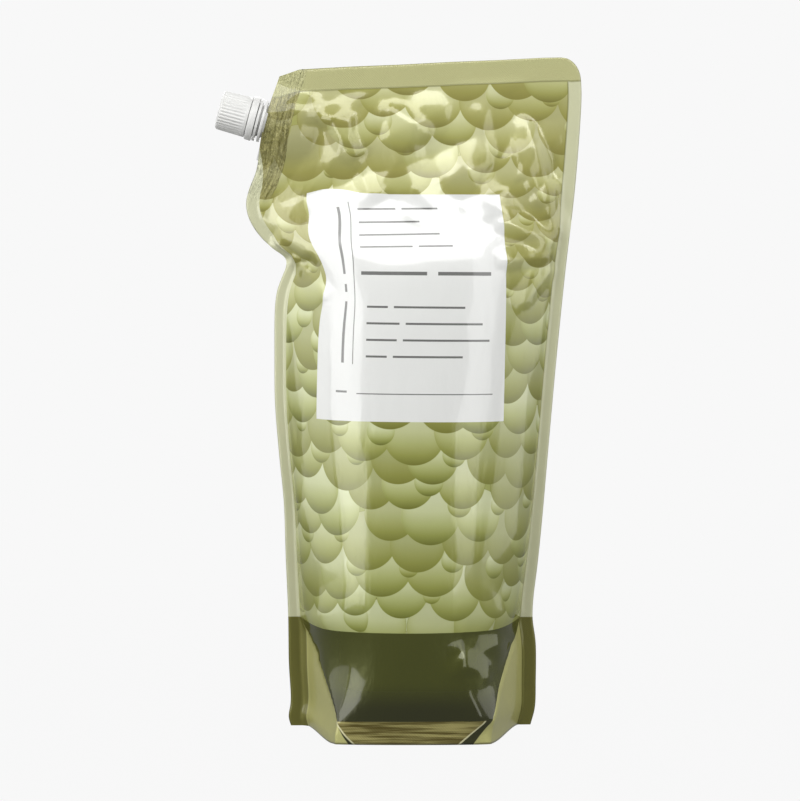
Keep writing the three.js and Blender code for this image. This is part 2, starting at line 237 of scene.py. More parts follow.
def row_filled(line, j, inward, width, left_seal, right_seal, flat):
    """One row of the front sheet as it lies on the filled bag, and how freely each point moves."""
    left, right = line.left[j], line.right[j]
    span = np.linalg.norm(right - left)
    across = (right - left) / span
    height = (line.flat_left[j][1] + line.flat_right[j][1]) / 2
    place = np.zeros((len(inward), 3))
    # in the fused fins the width is kept; between them the film is drawn in
    x = np.where(inward < left_seal, inward, 0.0)
    x = np.where(inward > width - right_seal, span - (width - inward), x)
    mid = (inward >= left_seal) & (inward <= width - right_seal)
    low, high = left_seal, span - right_seal
    turn = (inward - left_seal) / (width - left_seal - right_seal) * 2 - 1
    depth = np.interp(height, *np.array(HALF_DEPTH, float).T)
    bulge = np.zeros(len(inward))
    free = np.zeros(len(inward))
    angle = turn[mid] * math.pi / 2
    lean = depth / ((high - low) / 2)
    round_x = np.sin(angle) * lean + turn[mid] * (1 - lean)
    x[mid] = (low + high) / 2 + (high - low) / 2 * round_x
    inside = (turn[mid] + 1) / 2
    even = line.pinch[j] * (1 - inside) * (1 - lean * 0.3)
    near = np.interp(height + PINCH_SLANT * inside, line.level, line.pinch)
    x[mid] += near * (1 - ease(inside, 0, PINCH_REACH)) - even
    bulge[mid] = depth * np.cos(angle) ** (0.55 + 0.45 * (1 - lean))
    free[mid] = 1
    if height < FOLD_TOP:
        x, bulge, free = row_folded(height, flat[:, 0], x, bulge, low, high, depth, span, inward, width)
    place[:, 0] = left[0] + across[0] * x
    place[:, 2] = left[1] + across[1] * x
    place[:, 1] = -bulge
    drop = np.clip(1 - height / 210, 0, 1)
    place[:, 2] -= SAG * ease(bulge / STRIP_DEPTH, 0, 0.9) * drop
    if height < SKIRT:
        place[:, 2] += (height - place[:, 2]) * ease(bulge / STRIP_DEPTH, 0.8, 0.98) * (1 - height / SKIRT)
    return place, free


def row_folded(height, flat_x, x, bulge, low, high, depth, span, inward, width):
    """Below the folded film's top: a fused leg at each side, and the bag between the slanted seals."""
    share = np.clip((height - SKIRT) / (FOLD_TOP - SKIRT), 0, 1)
    edge = fold_edge(height)
    seam = FLAT_RIGHT - SIDE_SEAL
    edge_x = PANEL_FOOT + (PANEL_TOP - PANEL_FOOT) * share**1.35
    edge_y = STRIP_DEPTH * (1 - share ** 1.15)
    centre = span / 2
    free = np.zeros(len(x))
    for k, fx in enumerate(flat_x):
        off = abs(fx)
        side = 1 if fx > 0 else -1
        if inward[k] < low or inward[k] > width - (span - high):
            continue
        if off >= edge:
            t = (off - edge) / max(seam - edge, 1e-6)
            seam_x = (high - low) / 2
            x[k] = (low + high) / 2 + side * (edge_x + (seam_x - edge_x) * min(t, 1))
            bulge[k] = edge_y * (1 - min(t, 1))
        else:
            a = off / edge
            x[k] = centre + side * edge_x * (math.sin(a * math.pi / 2) * 0.35 + a * 0.65)
            bulge[k] = edge_y + (depth - edge_y) * (1 - a**2.2) ** 0.8
            free[k] = ease(height, SKIRT, SKIRT + 8) * ease(edge - off, 0, 4)
    return x, bulge, free


# ---- The film bag --------------------------------------------------------------------------------

BACK_PRINT = 200.0  # where the back sheet and the bottom film lie on the shared pattern, across
FOLD_PRINT = 400.0


def grid_mesh(columns, rows):
    """A flat bmesh grid, and its vertices in an array indexed [column, row]."""
    bm = bmesh.new()
    bm.loops.layers.uv.new("flat_film")
    bm.verts.layers.int.new("grid_place")
    bmesh.ops.create_grid(bm, x_segments=columns, y_segments=rows, size=1.0)
    table = np.empty((columns + 1, rows + 1), object)
    for v in bm.verts:
        table[round((v.co.x + 1) / 2 * columns), round((v.co.y + 1) / 2 * rows)] = v
    return bm, table


def sheet_mesh(name, places, flat, shift, flip):
    """One sheet as a mesh, with its flat pattern as UVs in metres; flip turns its faces round."""
    bm, table = grid_mesh(places.shape[0] - 1, places.shape[1] - 1)
    layer = bm.loops.layers.uv["flat_film"]
    own = bm.verts.layers.int["grid_place"]
    uv = {}
    for (i, j), v in np.ndenumerate(table):
        v.co = Vector(places[i, j]) * MM
        uv[v] = ((flat[i, j][0] + shift) * MM, flat[i, j][1] * MM)
        v[own] = (int(flip) * places.shape[0] + i) * places.shape[1] + j
    for face in bm.faces:
        for loop in face.loops:
            loop[layer].uv = uv[loop.vert]
    if flip:
        bmesh.ops.reverse_faces(bm, faces=bm.faces)
    mesh = bpy.data.meshes.new(name)
    bm.to_mesh(mesh)
    bm.free()
    return mesh


def join_sheets(meshes, name):
    """Joins the sheets along the edges that they share."""
    bm = bmesh.new()
    for mesh in meshes:
        bm.from_mesh(mesh)
    bmesh.ops.remove_doubles(bm, verts=bm.verts, dist=0.02 * MM)
    joined = bpy.data.meshes.new(name)
    bm.to_mesh(joined)
    bm.free()
    for mesh in meshes:
        bpy.data.meshes.remove(mesh)
    return joined


def boat_swell(x, z):
    """Half the thickness that the spout's weld base gives the bag, seen from the front."""
    rise = math.radians(SPOUT_RISE)
    dx = np.asarray(x) - SPOUT_AT[0]
    dz = np.asarray(z) - SPOUT_AT[1]
    along = dx * math.sin(rise) + dz * math.cos(rise)
    inward = dx * math.cos(rise) - dz * math.sin(rise)
    share = np.clip(np.abs(along) / BOAT_REACH, 0, 1)
    lens = np.cos(share * math.pi / 2) ** 1.15
    return BOAT_HALF * lens * (1 - ease(inward, BOAT_DEPTH + 1, BOAT_DEPTH + 20))


def give_thickness(places, side):
    """Keeps the two sheets apart: half a film in the fins, and the weld base's swell at the spout."""
    out = places.copy()
    depth = np.maximum(places[..., 1] * side, 0)
    depth = np.hypot(depth, boat_swell(places[..., 0], places[..., 2]))
    edge = np.zeros(depth.shape, bool)
    edge[0] = edge[-1] = True
    edge[:, -1] = True
    out[..., 1] = side * (depth + np.where(edge, 0, FILM))
    return out


def fill_with_soap(front, flat, free, work):
    """Cloth simulation of the bag between its held seams: the soap's pressure pushes the film out."""
    back = front * [1, -1, 1]
    meshes = [
        sheet_mesh("fill_front", front, flat, 0, False),
        sheet_mesh("fill_back", back, flat, BACK_PRINT, True),
    ]
    mesh = join_sheets(meshes, "fill_bag")
    bag = bpy.data.objects.new("fill_bag", mesh)
    bpy.context.scene.collection.objects.link(bag)
    numbers = [item.value for item in mesh.attributes["grid_place"].data]
    held = bag.vertex_groups.new(name="held")
    soap = bag.vertex_groups.new(name="soap")
    bag.shape_key_add(name="filled")
    cut = bag.shape_key_add(name="cut flat")
    where = []
    for v in mesh.vertices:
        sheet, i, j = np.unravel_index(numbers[v.index], (2, *front.shape[:2]))
        where.append((sheet, i, j))
        cut.data[v.index].co = Vector((flat[i, j, 0], 0, flat[i, j, 1])) * MM
        held.add([v.index], float(1 - free[i, j]), "REPLACE")
        push = np.interp(v.co.z / MM, [0, 120, 190, 225, 300], [1, 0.8, 0.45, 0.12, 0.03])
        soap.add([v.index], float(push), "REPLACE")
    cloth = bag.modifiers.new("fill", "CLOTH")
    s = cloth.settings
    s.quality = 7
    s.mass = 0.0003
    s.air_damping = 1
    s.tension_stiffness = s.compression_stiffness = work.film_stretch
    s.shear_stiffness = work.film_stretch * 0.4
    s.bending_model = "ANGULAR"
    s.bending_stiffness = work.film_bend
    s.tension_damping = s.compression_damping = s.shear_damping = 5
    s.bending_damping = 0.5
    s.use_pressure = True
    s.uniform_pressure_force = work.soap_pressure
    s.vertex_group_pressure = "soap"
    s.vertex_group_mass = "held"
    s.pin_stiffness = 50
    s.rest_shape_key = cut
    s.effector_weights.gravity = 0
    cloth.collision_settings.use_collision = False
    cloth.collision_settings.use_self_collision = False
    cloth.point_cache.frame_start = 1
    cloth.point_cache.frame_end = work.fill_frames + 1
    for number in range(1, work.fill_frames + 1):
        bpy.context.scene.frame_set(number)
    done = bag.evaluated_get(bpy.context.evaluated_depsgraph_get())
    co = np.empty(len(mesh.vertices) * 3, np.float32)
    done.data.vertices.foreach_get("co", co)
    out = [front.copy(), back.copy()]
    for (sheet, i, j), place in zip(where, co.reshape(-1, 3) / MM):
        if free[i, j] > 0:
            out[sheet][i, j] = place
    bpy.data.objects.remove(bag)
    bpy.data.meshes.remove(mesh)
    bpy.context.scene.frame_set(1)
    if not np.isfinite(out[0]).all() or np.abs(out[0]).max() > 400:
        raise RuntimeError("the fill simulation broke up")
    return out


def finer(a):
    """Twice as many grid cells both ways, along smooth curves through the given points."""
    for axis in (0, 1):
        a = np.moveaxis(a, axis, 0)
        padded = np.concatenate([2 * a[:1] - a[1:2], a, 2 * a[-1:] - a[-2:-1]])
        between = (9 * (padded[1:-2] + padded[2:-1]) - padded[:-3] - padded[3:]) / 16
        out = np.empty((2 * len(a) - 1, *a.shape[1:]))
        out[::2] = a
        out[1::2] = between
        a = np.moveaxis(out, 0, axis)
    return a


def normals_of(places):
    """Unit normals of a sheet of places, towards -Y where the sheet is flat."""
    n = np.cross(np.gradient(places, axis=0), np.gradient(places, axis=1))
    return n / np.maximum(np.linalg.norm(n, axis=2, keepdims=True), 1e-9)


def crease_height(x, z, line):
    """How far one fold line lifts the film: a ridge between two flat facets, fading at its ends."""
    ax, az, bx, bz, height, before, after = line
    run = np.array([bx - ax, bz - az], float)
    length = np.linalg.norm(run)
    run /= length
    along = ((x - ax) * run[0] + (z - az) * run[1]) / length
    off = (x - ax) * run[1] - (z - az) * run[0]
    reach = np.where(off > 0, after, before)
    tent = np.clip(1 - np.abs(off) / reach, 0, 1)
    ends = np.clip(np.minimum(along + 0.12, 1.12 - along) / 0.3, 0, 1)
    return height * tent * ends * ends * (3 - 2 * ends)


def creased(places, lines, side):
    """Folds a sheet along the given lines, which are places in the front view."""
    x, z = places[..., 0], places[..., 2]
    lift = sum(crease_height(x, z, line) for line in lines)
    return places + normals_of(places) * (side * lift)[..., None]


def rippled(places, free, amount, seed):
    """Slow, slight waves that thin film keeps from the roll."""
    out = places.copy()
    for (i, j), share in np.ndenumerate(free):
        if share > 0:
            x, _, z = places[i, j]
            slow = noise.noise(Vector((x / 17 + seed, z / 46, seed)))
            quick = noise.noise(Vector((x / 7 + seed, z / 19, seed + 5)))
            out[i, j, 1] += amount * share * (slow + 0.35 * quick)
    return out


CRUMPLES = [(18, 27, 2.6), (-34, 22, 2.0), (62, 34, 2.4), (-71, 46, 1.6)]  # direction, spacing, height


def crumpled(places, flat, side, amount, seed):
    """The slack upper film, buckled into flat facets where crossing folds meet, and beside the seams."""
    x, z = flat[..., 0], flat[..., 1]
    inward = np.minimum(x - FLAT_LEFT, FLAT_RIGHT - x)
    slack = ease(places[..., 2], 216, 248) * ease(top_distance(x, z), TOP_SEAL, TOP_SEAL + 9)
    slack = np.maximum(slack, 0.45 * ease(places[..., 2], 70, 120) * (1 - ease(inward, 12, 26)))
    slack = slack * ease(inward, SIDE_SEAL, SIDE_SEAL + 6) * (1 - boat_swell(places[..., 0], z) / BOAT_HALF)
    lift = np.zeros(x.shape)
    for turn, width, height in CRUMPLES:
        angle = math.radians(turn * side)
        phase = (x * math.cos(angle) + z * math.sin(angle)) / width + seed
        phase = phase + 0.35 * np.sin(z / 23 + turn + seed)
        fold = np.abs(phase - np.round(phase)) * 2
        strong = 0.5 + 0.5 * np.sin(x / 31 + turn) * np.cos(z / 27 + turn * 2 + seed)
        lift += height * fold * strong
    out = places.copy()
    out[..., 1] += side * amount * slack * (lift - lift.mean())
    return out


def relaxed(places, free, times):
    """Evens out the tightest ripples of the free film."""
    out = places.copy()
    for _ in range(times):
        around = out.copy()
        around[1:-1, 1:-1] = (out[:-2, 1:-1] + out[2:, 1:-1] + out[1:-1, :-2] + out[1:-1, 2:]) / 4
        out += (around - out) * (0.6 * free)[..., None]
    return out


# Fold lines in the front view: from x, z to x, z, height of the ridge, and how wide its two facets are.
FRONT_FOLDS = [
    (-60.0, 216.6, -45.0, 208.5, 2.4, 6, 4),
    (-52.0, 209.6, -43.7, 203.0, 2.0, 4, 5),
    (-44.5, 204.0, -36.0, 191.0, 1.5, 5, 7),
    (-50.0, 272.5, -26.0, 268.0, 1.6, 7, 6),
    (-37.0, 273.0, -23.0, 250.0, 3.0, 13, 6),
    (-23.0, 251.0, -15.0, 234.0, 1.5, 10, 6),
    (-12.0, 276.0, 8.0, 262.0, 1.8, 6, 10),
    (28.0, 276.0, 34.0, 250.0, 1.4, 6, 8),
    (48.0, 272.0, 60.0, 236.0, 2.2, 6, 9),
    (63.0, 215.0, 38.0, 225.0, 2.4, 5, 8),
    (62.0, 211.0, 38.0, 207.0, 2.2, 5, 7),
    (63.5, 219.0, 49.0, 247.0, 2.0, 5, 9),
    (61.0, 206.0, 47.0, 188.0, 1.6, 5, 7),
]
BAND_FOLDS = [
    (18.4, 36.5, 40.0, 43.5, 1.3, 7, 9),
    (18.4, 36.5, 34.0, 27.5, 1.2, 8, 8),
    (18.4, 36.5, 31.0, 8.0, 1.9, 13, 9),
]
BACK_FOLDS = [
    (-56.0, 214.0, -42.0, 208.0, 1.4, 5, 5),
    (-42.0, 206.0, -20.0, 196.0, 1.0, 7, 5),
    (58.0, 216.0, 34.0, 224.0, 1.2, 6, 7),
    (-30.0, 268.0, -18.0, 244.0, 1.2, 9, 6),
    (10.0, 272.0, 24.0, 248.0, 0.8, 8, 9),
    (44.0, 262.0, 52.0, 236.0, 1.0, 7, 6),
    (-18.0, 36.0, -38.0, 26.0, 1.2, 6, 5),
    (20.0, 34.0, 36.0, 14.0, 1.0, 6, 6),
]


def bottom_places(front, back, flat, level):
    """The folded-in bottom film: up inside the front leg, across under the soap, down the back leg."""
    first, last = 2 * SEAL_CELLS, front.shape[0] - 1 - 2 * SEAL_CELLS
    fold = int(np.searchsorted(level, FOLD_TOP))
    lift = np.linspace(0, 1, FOLD_ROWS + 1)
    count = last - first + 1
    places = np.zeros((count, 2 * FOLD_ROWS + 1, 3))
    pattern = np.zeros((count, 2 * FOLD_ROWS + 1, 2))
    for n in range(count):
        i = first + n
        x = flat[i, 0, 0]
        reach = np.clip((abs(x) - FOLD_FOOT) / (FLAT_RIGHT - SIDE_SEAL - FOLD_FOOT), 0, 1)
        seam_height = SKIRT + (FOLD_TOP - SKIRT) * reach
        spare = FOLD_TOP - seam_height
        low = 1.2 + (FOLD_TOP - 4.0) * reach**1.6
        middle = np.array([front[i, 0, 0] * (1 - reach) + front[i, fold, 0] * reach, 0, low])
        for m, t in enumerate(lift):
            height = t * FOLD_TOP
            for side, sheet in ((-1, front), (1, back)):
                at = min(height, seam_height)
                on = np.array([np.interp(at, level[: fold + 1], sheet[i, : fold + 1, k]) for k in range(3)])
                inner = abs(on[1]) - 3 * FILM * min(1, height / 3)
                on[0] *= 1 - 0.018 * min(1, height / 3)
                on[1] = side * max(inner, 0.03) if height else on[1]
                if height > seam_height and spare > 0:
                    share = (height - seam_height) / spare
                    drop = 1 - (1 - share) ** 2
                    on = on + (middle - on) * [share, share, drop]
                if m == FOLD_ROWS:
                    on[1] = 0
                row = m if side < 0 else 2 * FOLD_ROWS - m
                places[n, row] = on
                pattern[n, row] = (x, height if side < 0 else 2 * FOLD_TOP - height)
    return places, pattern


def make_film(work):
    """The filled bag as one mesh of three sheets, with the flat pattern as its UV map."""
    line, flat, filled, free = sheet_places()
    front = give_thickness(filled, -1)
    sheets = fill_with_soap(front, flat, free, work)
    level = np.interp(np.arange(0, len(line.level) - 0.5, 0.5), np.arange(len(line.level)), line.level)
    flat = finer(flat)
    soft = free
    free = np.clip(finer(free), 0, 1)
    sides = []
    for places, side, folds in ((sheets[0], -1, FRONT_FOLDS + BAND_FOLDS), (sheets[1], 1, BACK_FOLDS)):
        places = finer(relaxed(places, np.where(soft > 0.5, soft, 0), 4))
        places = crumpled(places, flat, side, work.crumple, 0.3 + 0.4 * side)
        places = creased(places, folds, 1 if side < 0 else -1)
        places = rippled(places, free * (0.25 + 0.75 * ease(places[..., 2], 40, 60)), work.ripple, 3 + side)
        kept = places.copy()
        gap = np.where(np.indices(free.shape)[0] % (free.shape[0] - 1) == 0, 0, FILM)
        gap[:, -1] = 0
        least = np.maximum(boat_swell(places[..., 0], places[..., 2]), gap)
        kept[..., 1] = side * np.maximum(places[..., 1] * side, least)
        sides.append(kept)
    bottom, fold_pattern = bottom_places(sides[0], sides[1], flat, level)
    meshes = [
        sheet_mesh("front_film", sides[0], flat, 0, False),
        sheet_mesh("back_film", sides[1], flat, BACK_PRINT, True),
        sheet_mesh("bottom_film", bottom, fold_pattern, FOLD_PRINT, True),
    ]
    mesh = join_sheets(meshes, "pouch_film")
    mesh.attributes.remove(mesh.attributes["grid_place"])
    mesh.shade_smooth()
    return mesh


# ---- Shader helpers ------------------------------------------------------------------------------


class Wires:
    """Adds nodes to one node tree and joins them up."""

    def __init__(self, tree):
        self.tree = tree

    def node(self, kind, **settings):
        """A new node with its settings."""
        made = self.tree.nodes.new(kind)
        for name, value in settings.items():
            setattr(made, name, value)
        return made

    def put(self, socket, value):
        """A socket takes a plain value, or a link from another socket."""
        if isinstance(value, bpy.types.NodeSocket):
            self.tree.links.new(value, socket)
        else:
            socket.default_value = value

    def math(self, operation, *values, clamp=False):
        """One math step on its values."""
        made = self.node("ShaderNodeMath", operation=operation, use_clamp=clamp)
        for socket, value in zip(made.inputs, values):
            self.put(socket, value)
        return made.outputs[0]

    def add(self, a, b):
        return self.math("ADD", a, b)

    def sub(self, a, b):
        return self.math("SUBTRACT", a, b)

    def mul(self, a, b):
        return self.math("MULTIPLY", a, b)

    def above(self, value, edge, soft=0.25):
        """0 below the edge and 1 above it, with a soft step."""
        made = self.node("ShaderNodeMapRange", interpolation_type="SMOOTHSTEP")
        self.put(made.inputs["Value"], self.sub(value, edge))
        self.put(made.inputs["From Min"], -soft / 2)
        self.put(made.inputs["From Max"], soft / 2)
        return made.outputs["Result"]

    def within(self, value, low, high, soft=0.25):
        """1 between low and high, with soft steps."""
        return self.mul(self.above(value, low, soft), self.sub(1.0, self.above(value, high, soft)))

    def mix(self, share, a, b):
        """A colour between a and b."""
        made = self.node("ShaderNodeMix", data_type="RGBA")
        self.put(made.inputs[0], share)
        self.put(made.inputs[6], a)
        self.put(made.inputs[7], b)
        return made.outputs[2]

    def blend(self, share, a, b):
        """A number between a and b."""
        made = self.node("ShaderNodeMix", data_type="FLOAT")
        self.put(made.inputs[0], share)
        self.put(made.inputs[2], a)
        self.put(made.inputs[3], b)
        return made.outputs[0]

    def ramp(self, value, stops):
        """A colour by value, from places and colours."""
        made = self.node("ShaderNodeValToRGB")
        bar = made.color_ramp.elements
        for n, (place, colour) in enumerate(stops):
            stop = bar[n] if n < 2 else bar.new(place)
            stop.position = place
            stop.color = colour
        self.put(made.inputs[0], value)
        return made.outputs[0]

    def noise(self, vector, scale, detail=2.0, rough=0.5):
        """Smooth noise from 0 to 1."""
        made = self.node("ShaderNodeTexNoise")
        self.put(made.inputs["Vector"], vector)
        self.put(made.inputs["Scale"], scale)
        self.put(made.inputs["Detail"], detail)
        self.put(made.inputs["Roughness"], rough)
        return made.outputs["Fac"]

    def vector(self, x, y, z=0.0):
        """Three numbers as one vector."""
        made = self.node("ShaderNodeCombineXYZ")
        for socket, value in zip(made.inputs, (x, y, z)):
            self.put(socket, value)
        return made.outputs[0]

    def split(self, vector):
        """The first two numbers of a vector."""
        made = self.node("ShaderNodeSeparateXYZ")
        self.put(made.inputs[0], vector)
        return made.outputs[0], made.outputs[1]

    def call(self, group, **values):
        """A placed group, with its inputs set by name."""
        made = self.node("ShaderNodeGroup")
        made.node_tree = group
        for name, value in values.items():
            self.put(made.inputs[name.replace("_", " ")], value)
        return made


def new_group(name, inputs, outputs):
    """An empty shader node group, its wires, its input sockets by name and its output node."""
    group = bpy.data.node_groups.new(name, "ShaderNodeTree")
    for label, kind in inputs.items():
        group.interface.new_socket(label, in_out="INPUT", socket_type="NodeSocket" + kind)
    for label, kind in outputs.items():
        group.interface.new_socket(label, in_out="OUTPUT", socket_type="NodeSocket" + kind)
    wires = Wires(group)
    entry = wires.node("NodeGroupInput")
    end = wires.node("NodeGroupOutput")
    return group, wires, entry.outputs, end.inputs


def rgb(code):
    """A display colour such as 0xC9D3A3 as linear RGBA."""
    parts = [((code >> shift) & 255) / 255 for shift in (16, 8, 0)]
    return (*[p / 12.92 if p <= 0.04045 else ((p + 0.055) / 1.055) ** 2.4 for p in parts], 1.0)


# ---- The print, with some painted highlights and shade -------------------------------------------

BUBBLE_ACROSS = 21.0  # between bubbles in a row
BUBBLE_UP = 11.6  # between rows
LARGE_BUBBLE = (10.6, 13.2, 0.0, 1.0)  # least and most radius, how far it hangs down, and how often it shows
SMALL_BUBBLE = (3.8, 6.2, 10.0, 0.4)


def one_bubble_group():
    """One bubble over what lies below it: 0 at its lower rim to 1 at its top, and which cell it is in."""
    group, w, given, end = new_group(
        "one_bubble",
        {
            "Place": "Vector", "Row": "Float", "Column": "Float", "Least": "Float", "Most": "Float",
            "Drop": "Float", "Present": "Float", "Below": "Float", "Below Tone": "Float",
        },
        {"Shade": "Float", "Tone": "Float"},
    )
    x, y = w.split(given["Place"])
    row = w.math("FLOOR", w.add(w.math("DIVIDE", y, BUBBLE_UP), given["Row"]))
    odd = w.math("MODULO", w.math("ABSOLUTE", row), 2.0)
    along = w.add(w.math("DIVIDE", x, BUBBLE_ACROSS), w.mul(odd, 0.5))
    column = w.add(w.math("FLOOR", w.sub(along, 0.5)), given["Column"])
    dice = w.node("ShaderNodeTexWhiteNoise", noise_dimensions="3D")
    w.put(dice.inputs["Vector"], w.vector(column, row, given["Most"]))
    channels = w.node("ShaderNodeSeparateColor")
    w.put(channels.inputs[0], dice.outputs["Color"])
    red, green, blue = channels.outputs
    centre_x = w.mul(w.add(w.sub(column, w.mul(odd, 0.5)), w.add(0.3, w.mul(red, 0.4))), BUBBLE_ACROSS)
    centre_y = w.sub(w.mul(w.add(row, w.add(0.3, w.mul(green, 0.4))), BUBBLE_UP), given["Drop"])
    radius = w.blend(blue, given["Least"], given["Most"])
    dx = w.sub(x, centre_x)
    dy = w.sub(y, centre_y)
    far = w.math("SQRT", w.add(w.mul(dx, dx), w.mul(dy, dy)))
    inside = w.sub(1.0, w.above(w.sub(far, radius), 0.0, 0.35))
    shown = w.math("LESS_THAN", dice.outputs["Value"], given["Present"])
    inside = w.mul(inside, shown)
    shade = w.math("DIVIDE", w.add(dy, radius), w.mul(radius, 2.0))
    rim = w.math("DIVIDE", far, radius)
    shade = w.mul(shade, w.sub(1.0, w.mul(0.35, w.math("POWER", rim, 6.0))))
    w.put(end["Shade"], w.blend(inside, given["Below"], shade))
    w.put(end["Tone"], w.blend(inside, given["Below Tone"], red))
    return group


def bubble_pattern_group(one):
    """Rows of overlapping bubbles: each higher row lies over the one below it."""
    group, w, given, end = new_group(
        "bubble_pattern", {"Place": "Vector"}, {"Shade": "Float", "Tone": "Float", "Cover": "Float"}
    )
    order = []
    for row in (-1.0, 0.0, 1.0, 2.0):
        order += [(row, column, *SMALL_BUBBLE) for column in (0.0, 1.0) if row > -1]
        order += [(row, column, *LARGE_BUBBLE) for column in (0.0, 1.0) if row < 2]
    shade = -1.0
    tone = 0.5
    for row, column, least, most, drop, present in order:
        bubble = w.call(
            one, Place=given["Place"], Row=row, Column=column, Least=least, Most=most, Drop=drop,
            Present=present, Below=shade, Below_Tone=tone,
        )
        shade = bubble.outputs["Shade"]
        tone = bubble.outputs["Tone"]
    w.put(end["Shade"], shade)
    w.put(end["Tone"], tone)
    w.put(end["Cover"], w.above(shade, -0.5, 0.4))
    return group


# Left, right, upper and lower side of each dark mark on the label, from its upper left corner.
LABEL_MARKS = [
    (18.3, 18.75, 3.5, 79.5),
    (20.5, 79.5, 91.6, 92.05),
    (22.0, 38.0, 6.6, 7.5), (40.5, 55.5, 6.6, 7.5),
    (22.0, 47.5, 13.2, 14.1),
    (22.0, 55.5, 20.0, 20.9),
    (22.0, 44.0, 27.0, 27.9), (46.5, 60.5, 27.0, 27.9),
    (22.0, 49.5, 39.6, 41.2), (54.0, 77.0, 39.6, 41.2),
    (24.5, 33.5, 54.6, 55.5), (36.0, 65.5, 54.6, 55.5),
    (24.5, 38.5, 61.6, 62.5), (41.0, 73.5, 61.6, 62.5),
    (24.5, 37.5, 68.6, 69.5), (40.0, 77.0, 68.6, 69.5),
    (24.5, 33.5, 75.6, 76.5), (36.0, 65.0, 75.6, 76.5),
    (13.0, 14.3, 6.0, 41.0), (13.0, 14.3, 45.5, 49.0), (13.0, 14.3, 53.0, 79.0),
    (10.5, 16.0, 90.7, 91.6),
]


def label_group():
    """The blank label: its field, two thin rules and short dark bars where its lines would be."""
    group, w, given, end = new_group(
        "label", {"Place": "Vector", "Left": "Float", "Right": "Float", "Foot": "Float", "Head": "Float"},
        {"Field": "Float", "Ink": "Float"},
    )
    x, z = w.split(given["Place"])
    rise = w.mul(w.above(x, -42.0, 12.0), w.sub(1.0, w.above(x, -24.0, 16.0)))
    head = w.add(given["Head"], w.mul(rise, 2.4))
    right_edge = w.add(given["Right"], w.mul(w.sub(w.sub(given["Head"], z), 60.0), 0.03))
    field = w.mul(w.within(x, given["Left"], right_edge), w.within(z, given["Foot"], head))
    from_left = w.sub(x, given["Left"])
    from_head = w.sub(given["Head"], z)
    ink = None
    for left, right, low, high in LABEL_MARKS:
        mark = w.mul(w.within(from_left, left, right, 0.2), w.within(from_head, low, high, 0.2))
        ink = mark if ink is None else w.math("MAXIMUM", ink, mark)
    w.put(end["Field"], field)
    w.put(end["Ink"], w.mul(ink, field))
    return group


